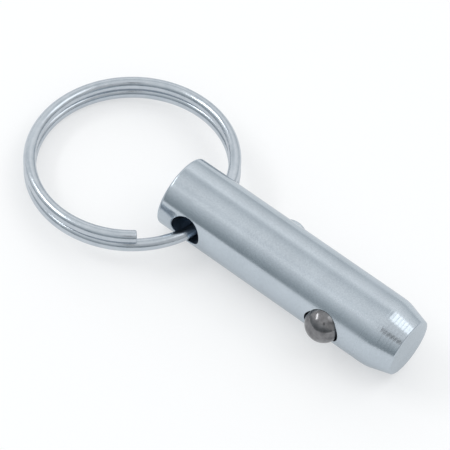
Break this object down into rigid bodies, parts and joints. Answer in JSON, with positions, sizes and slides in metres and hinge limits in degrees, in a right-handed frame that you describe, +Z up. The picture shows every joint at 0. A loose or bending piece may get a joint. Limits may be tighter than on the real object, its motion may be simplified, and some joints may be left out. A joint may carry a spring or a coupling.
{
  "type": "detent hitch pin",
  "caption": "Headless round hitch pin with a tapered nose, a spring-loaded detent ball, a domed stop on the far side and a split pull ring through a cross hole at the rear.",
  "frame": {"origin": "on the pin's axis, half way along the body", "axes": "+X along the pin's axis towards the tapered nose, -Y towards the detent ball, +Z up as the pin lies"},
  "size_m": [0.114, 0.0546, 0.019],
  "materials": {
    "plated_steel": "satin zinc plating over turned steel",
    "hard_steel": "polished",
    "spring_steel": "drawn wire",
    "ring_wire": "bright plated wire"
  },
  "bodies": {
    "pin": {"pin_body": "plated_steel", "stop_stud": "plated_steel", "detent_spring": "spring_steel"},
    "ball": {"detent_ball": "hard_steel"},
    "ring": {"split_ring": "ring_wire"}
  },
  "joints": [
    {"name": "ball_slide", "type": "slide", "parent": "pin", "child": "ball", "axis": [0, 1, 0], "range_m": [0, 0.00345], "stiffness_N_per_m": 4800, "deforming": ["detent_spring"]},
    {"name": "ring_swing", "type": "hinge", "parent": "pin", "child": "ring", "pos_m": [-0.02675, 0, 0], "axis": [0, 1, 0], "range_deg": [-154, 168]}
  ]
}
